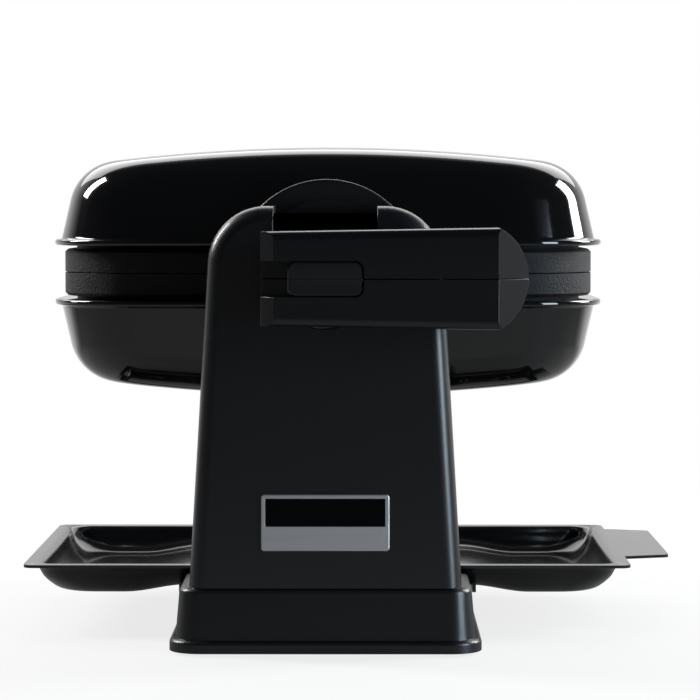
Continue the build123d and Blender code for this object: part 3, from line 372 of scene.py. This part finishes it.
def loopPoints(halfX, halfY, corner, look):
    """(x, y) points round a rectangle with round corners, always the same count"""
    straightX, straightY = halfX - corner, halfY - corner
    signs = [(1, 1), (-1, 1), (-1, -1), (1, -1)]
    points = []
    for turn in range(4):
        cornerX, cornerY = signs[turn]
        for a in quarter(look["cornerSteps"]):
            a += turn * math.pi / 2
            points.append((cornerX * straightX + corner * math.cos(a),
                           cornerY * straightY + corner * math.sin(a)))
        steps = look["longSteps"] if turn % 2 == 0 else look["shortSteps"]
        nextX, nextY = signs[(turn + 1) % 4]
        fromX, fromY = points[-1]
        toX = nextX * straightX + corner * math.cos((turn + 1) * math.pi / 2)
        toY = nextY * straightY + corner * math.sin((turn + 1) * math.pi / 2)
        points += [(fromX + (toX - fromX) * i / steps, fromY + (toY - fromY) * i / steps)
                   for i in range(1, steps)]
    return points


def addLoop(bm, points):
    return [bm.verts.new((x * mm, y * mm, z * mm)) for x, y, z in points]


def skinLoops(bm, loops):
    """quads between each loop and the next"""
    for one, other in zip(loops, loops[1:]):
        for i in range(len(one)):
            j = (i + 1) % len(one)
            bm.faces.new((one[i], one[j], other[j], other[i]))


def shellPath(rise, look, wall):
    """round the shoulder, as (drawn in, height) in mm from the rim's widest line"""
    lean = math.tan(math.radians(look["draft"]))
    shoulder = look["shoulder"]
    centreHigh = rise - shoulder
    turnFrom = math.radians(look["draft"])
    turnTo = math.radians(90 - look["crownEdgeAngle"])
    wallHigh = centreHigh + shoulder * math.sin(turnFrom)
    centreIn = look["overhang"] + wallHigh * lean + shoulder * math.cos(turnFrom)
    path = []
    for i in range(look["shoulderSteps"] + 1):
        a = turnFrom + (turnTo - turnFrom) * i / look["shoulderSteps"]
        path.append((centreIn - (shoulder - wall) * math.cos(a),
                     centreHigh + (shoulder - wall) * math.sin(a)))
    return path


def makeShell(side, node):
    """one shell as a closed sheet: side is 1 for the upper one and -1 for the lower one"""
    look = shellShape
    low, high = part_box(node)
    halfX, halfY = high[0] / mm, high[1] / mm
    half = look["rimThick"] / 2
    wideLine = low[2] / mm + half if side > 0 else high[2] / mm - half
    rise = (high[2] - low[2]) / mm - half
    edgeDrop = (halfX - look["crownEdge"]) ** 2 / (2 * look["crownRadius"])
    r, lip = look["edgeRound"], look["lipRound"]

    def ring(inset):
        return loopPoints(halfX - inset, halfY - inset, look["rimCorner"] - inset, look)

    def level(path):
        """a flat loop for each (inset, height)"""
        return [[(x, y, z) for x, y in ring(inset)] for inset, z in path]

    def sag(x, y):
        return (x * x + y * y) / (2 * look["crownRadius"])

    def skin(wall):
        """one side of the sheet: the wall, the shoulder and the crown, as lists of (x, y, z)"""
        path = shellPath(rise - edgeDrop, look, wall)
        lastInset, lastHigh = path[-1]
        last = ring(lastInset)
        stretch = [(rise - wall - sag(x, y) - half) / (lastHigh - half) for x, y in last]
        loops = [[(x, y, half + (z - half) * k) for (x, y), k in zip(ring(inset), stretch)]
                 for inset, z in path]
        for step in range(1, look["crownSteps"] + 1):
            k = 1 - step / (look["crownSteps"] + look["crownHub"])
            loops.append([(x * k, y * k, rise - wall - sag(x, y) * k * k) for x, y in last])
        return loops

    rim = [(r - r * math.cos(a), half - r + r * math.sin(a)) for a in quarter(look["rimSteps"])]
    foot = [(look["overhang"] - lip + lip * math.sin(a), half + lip - lip * math.cos(a))
            for a in quarter(look["lipSteps"])]
    ledge = [(look["overhang"] + look["wall"] + look["ledgeJoint"], half),
             (look["opening"], half), (look["opening"], -half)]
    under = [(inset, -z) for inset, z in reversed(rim)]
    bm = bmesh.new()
    inner = skin(look["wall"])[::-1]
    loops = [addLoop(bm, points)
             for points in inner + level(ledge + under + rim + foot) + skin(0)]
    skinLoops(bm, loops)
    bm.faces.new(loops[0])
    bm.faces.new(loops[-1])
    if side < 0:
        bmesh.ops.scale(bm, verts=bm.verts, vec=(1, 1, -1))
    bmesh.ops.translate(bm, verts=bm.verts, vec=(0, 0, wideLine * mm))
    bmesh.ops.remove_doubles(bm, verts=bm.verts, dist=1e-7)
    bmesh.ops.recalc_face_normals(bm, faces=bm.faces)
    keepPiece(bm, node, look["smoothAngle"])


# the drip tray: one pressed sheet, whose walls run down in a soft curve to two wells
traySheet = {
    "thick": 1.5, "corner": 5.0, "ledge": 5.5, "wallRun": 14.0, "floorCorner": 16.0,
    "cornerGain": 1.6, "panDepth": 10.5, "wellDrop": 3.6, "wellFrom": 70.0, "wellTo": 100.0,
    "wallSteps": 12, "cornerSteps": 10, "lengthSteps": 90, "bottomCurve": 2.2, "lipShare": 0.22,
    "tabFront": -50.0, "tabBack": 66.0, "tabSlant": 6.0, "tabRound": 4.0, "tabSteps": 5,
    "reach": 23.0, "ribPlace": 73.0, "ribThick": 1.8, "ribDrop": 4.4, "ribHalf": 63.0,
    "smoothAngle": 40,
}


def smooth(t):
    t = min(max(t, 0.0), 1.0)
    return t * t * (3 - 2 * t)


def roundedRow(halfX, halfY, corner, look):
    """(x, half depth) pairs along a rectangle with round corners, from left to right"""
    straight = halfX - corner
    row = [(-straight - corner * math.cos(a), halfY - corner + corner * math.sin(a))
           for a in quarter(look["cornerSteps"])]
    row += [(straight * (2 * i / look["lengthSteps"] - 1), halfY)
            for i in range(1, look["lengthSteps"])]
    return row + [(-x, y) for x, y in reversed(row[:look["cornerSteps"] + 1])]


def tabOutline(halfX, look):
    """(x, y) points round the pull tab, from its front root to its back one"""
    r = look["tabRound"]
    roundX = halfX + look["reach"] - r
    front = look["tabFront"] + look["tabSlant"] + r
    back = look["tabBack"] - look["tabSlant"] - r
    turn = quarter(look["tabSteps"])
    return [(halfX, look["tabFront"]),
            *[(roundX + r * math.sin(a), front - r * math.cos(a)) for a in turn],
            *[(roundX + r * math.cos(a), back + r * math.sin(a)) for a in turn],
            (halfX, look["tabBack"])]


def addBox(bm, low, high):
    """a closed box, in mm"""
    for vert in bmesh.ops.create_cube(bm, size=1.0)["verts"]:
        vert.co = Vector([((low[i] + high[i]) / 2 + vert.co[i] * (high[i] - low[i])) * mm
                          for i in range(3)])


def makeTray(node):
    look = traySheet
    low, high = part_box(node)
    top, halfX, halfY = high[2] / mm, -low[0] / mm, high[1] / mm
    steps = look["wallSteps"]
    insets = [(0.0, 0.0), (look["ledge"], 0.0)]
    insets += [(look["ledge"] + look["wallRun"] * i / steps, i / steps)
               for i in range(1, steps + 1)]
    bm = bmesh.new()
    rows = []
    for inset, down in insets:
        share = inset / (look["ledge"] + look["wallRun"])
        growth = min(1.0, share * look["cornerGain"])
        corner = look["corner"] + (look["floorCorner"] - look["corner"]) * growth
        curve = 1 - (1 - down) ** look["bottomCurve"]
        fall = curve * smooth(down / look["lipShare"])
        front, back = [], []
        for x, y in roundedRow(halfX - inset, halfY - inset, corner, look):
            well = smooth((abs(x) - look["wellFrom"]) / (look["wellTo"] - look["wellFrom"]))
            z = top - fall * (look["panDepth"] + look["wellDrop"] * well)
            front.append(bm.verts.new((x * mm, -y * mm, z * mm)))
            back.append(bm.verts.new((x * mm, y * mm, z * mm)))
        rows.append((front, back))
    tab = addLoop(bm, [(x, y, top) for x, y in tabOutline(halfX, look)])
    bm.faces.new(tab)
    for (front, back), (frontIn, backIn) in zip(rows, rows[1:]):
        for i in range(len(front) - 1):
            bm.faces.new((front[i], front[i + 1], frontIn[i + 1], frontIn[i]))
            bm.faces.new((back[i + 1], back[i], backIn[i], backIn[i + 1]))
        bm.faces.new((back[0], front[0], frontIn[0], backIn[0]))
        withTab = (tab[0], tab[-1]) if front is rows[0][0] else ()
        bm.faces.new((front[-1], *withTab, back[-1], backIn[-1], frontIn[-1]))
    front, back = rows[-1]
    for i in range(len(front) - 1):
        bm.faces.new((front[i], front[i + 1], back[i + 1], back[i]))
    bmesh.ops.recalc_face_normals(bm, faces=bm.faces)
    if sum(face.normal.z * face.calc_area() for face in bm.faces) < 0:
        bmesh.ops.reverse_faces(bm, faces=bm.faces)
    bmesh.ops.solidify(bm, geom=bm.faces[:], thickness=look["thick"] * mm)
    under = top - look["panDepth"] - look["thick"]
    for side in (-1, 1):
        place = side * look["ribPlace"]
        addBox(bm, (place - look["ribThick"] / 2, -look["ribHalf"], under - look["ribDrop"]),
               (place + look["ribThick"] / 2, look["ribHalf"], under + look["thick"] / 2))
    keepPiece(bm, node, look["smoothAngle"])


makeShell(1, "upper_shell")
makeShell(-1, "lower_shell")
makeTray("drip_tray")
print("shells and tray made")
for node in nodes:
    if node not in ("upper_shell", "lower_shell", "drip_tray"):
        dress(node)
print("nodes dressed")

# floor, light and camera
softboxes = {
    "leftBox": dict(place=(-1.25, 0.40, 0.98), size=(0.28, 0.75), power=20.0),
    "rightBox": dict(place=(1.25, 0.45, 0.72), size=(0.42, 0.80), power=19.0),
    "topBox": dict(place=(0.0, 1.25, 1.25), size=(2.8, 1.0), power=17.0),
    "frontFill": dict(place=(1.05, -0.72, 0.30), size=(0.40, 0.7), power=9.0,
                      colour=(0.72, 0.87, 1.0)),
}
ground = {  # it glows from fadeReach on, so that it meets the white behind it without an edge
    "half": 6.0, "colour": (0.88, 0.88, 0.88), "roughness": 0.6, "specular": 0.2,
    "fadeReach": (0.3, 0.75), "fadeShare": (0.80, 1.0),
    "bounceReach": (0.2, 0.5), "bounce": (0.13, 0.9),
}
surround = [(0.70, (0.03, 0.032, 0.036, 1)), (0.88, (0.72, 0.72, 0.73, 1))]  # front to back
shot = {"place": (0.0165, -1.4156, 0.2099), "focalPixels": 2734.5, "yaw": -0.0039,
        "pitch": 0.0529, "imageWidth": 700, "sensorWidth": 36.0}


def softbox(name, spec, target=(0, 0, 0.14)):
    light = bpy.data.lights.new(name, "AREA")
    light.shape = "RECTANGLE"
    light.size, light.size_y = spec["size"]
    light.energy = spec["power"]
    light.color = spec.get("colour", (1, 1, 1))
    lamp = addObject(name, light)
    lamp.location = spec["place"]
    aim = Vector(target) - Vector(spec["place"])
    lamp.rotation_euler = aim.to_track_quat("-Z", "Y").to_euler()


def floorShading(tree, look):
    """a pale floor that takes the shadow near the part and glows further out"""
    shader = tree.nodes["Principled BSDF"]
    shader.inputs["Base Color"].default_value = (*look["colour"], 1)
    shader.inputs["Roughness"].default_value = look["roughness"]
    shader.inputs["Specular IOR Level"].default_value = look["specular"]
    where = tree.nodes.new("ShaderNodeTexCoord").outputs["Object"]
    reach = tree.nodes.new("ShaderNodeVectorMath")
    reach.operation = "LENGTH"
    tree.links.new(where, reach.inputs[0])
    fade = mapRange(tree, reach.outputs["Value"], look["fadeReach"], look["fadeShare"],
                    "SMOOTHSTEP")
    # the glow is white in the picture, but dim in mirror images except behind the part
    seen = tree.nodes.new("ShaderNodeLightPath").outputs["Is Camera Ray"]
    split = tree.nodes.new("ShaderNodeSeparateXYZ")
    tree.links.new(where, split.inputs[0])
    mirrored = mapRange(tree, split.outputs["Y"], look["bounceReach"], look["bounce"])
    glow = tree.nodes.new("ShaderNodeEmission")
    tree.links.new(mathNode(tree, "MAXIMUM", seen, mirrored), glow.inputs["Strength"])
    blended = tree.nodes.new("ShaderNodeMixShader")
    tree.links.new(fade, blended.inputs[0])
    tree.links.new(shader.outputs["BSDF"], blended.inputs[1])
    tree.links.new(glow.outputs["Emission"], blended.inputs[2])
    tree.links.new(blended.outputs["Shader"], tree.nodes["Material Output"].inputs["Surface"])


def makeFloor(look):
    bm = bmesh.new()
    bmesh.ops.create_grid(bm, x_segments=1, y_segments=1, size=look["half"])
    mesh = bpy.data.meshes.new("floor")
    bm.to_mesh(mesh)
    bm.free()
    material = bpy.data.materials.new("floor_white")
    material.use_nodes = True
    floorShading(material.node_tree, look)
    mesh.materials.append(material)
    return addObject("floor", mesh)


def makeWorld(bands):
    """white behind the part in the picture; in mirror images, dark in front and pale behind"""
    world = bpy.data.worlds.new("studio")
    bpy.context.scene.world = world
    world.use_nodes = True
    tree = world.node_tree
    split = tree.nodes.new("ShaderNodeSeparateXYZ")
    tree.links.new(tree.nodes.new("ShaderNodeTexCoord").outputs["Generated"], split.inputs[0])
    ramp = tree.nodes.new("ShaderNodeValToRGB")
    for element, (position, colour) in zip(ramp.color_ramp.elements, bands):
        element.position = position
        element.color = colour
    share = mathNode(tree, "MULTIPLY_ADD", split.outputs["Y"], 0.5, 0.5)
    tree.links.new(share, ramp.inputs["Fac"])
    sides, mixed = mixColours(tree, tree.nodes.new("ShaderNodeLightPath").outputs["Is Camera Ray"])
    tree.links.new(ramp.outputs["Color"], sides["A"])
    sides["B"].default_value = (1, 1, 1, 1)
    background = tree.nodes["Background"]
    tree.links.new(mixed, background.inputs["Color"])
    background.inputs["Strength"].default_value = 1.0


def makeCamera(view):
    data = bpy.data.cameras.new("camera")
    data.sensor_fit = "HORIZONTAL"
    data.sensor_width = view["sensorWidth"]
    data.lens = view["focalPixels"] / view["imageWidth"] * view["sensorWidth"]
    camera = addObject("camera", data)
    camera.location = view["place"]
    camera.rotation_euler = (math.radians(90) - view["pitch"], 0, -view["yaw"])
    bpy.context.scene.camera = camera


for name, spec in softboxes.items():
    softbox(name, spec)
floor = makeFloor(ground)
makeWorld(surround)
makeCamera(shot)
bpy.context.scene.view_settings.view_transform = "Standard"
print("stage, light and camera set")
